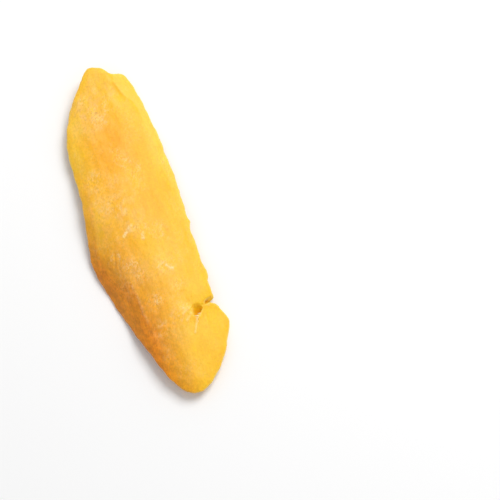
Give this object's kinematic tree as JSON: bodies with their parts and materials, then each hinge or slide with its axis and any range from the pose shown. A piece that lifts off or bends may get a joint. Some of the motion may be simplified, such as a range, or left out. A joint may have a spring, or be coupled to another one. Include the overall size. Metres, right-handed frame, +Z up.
{
  "type": "dried mango slice",
  "caption": "Long leathery slice of dried mango, arched and warped, thin at its rim, with a short tear at one side.",
  "frame": {"origin": "on the table under the middle of the slice's bounding box", "axes": "+Z up, out of the rounded shown side; +Y along the slice, to its narrow folded end; +X across it, to the torn side"},
  "size_m": [0.0382, 0.123, 0.0085],
  "materials": {
    "mango_flesh": "dried fruit flesh: golden yellow, leathery and slightly translucent, satin sheen, fine fibres along its length, pale sugary bloom"
  },
  "bodies": {
    "root": {"mango_slice": "mango_flesh"}
  },
  "joints": []
}
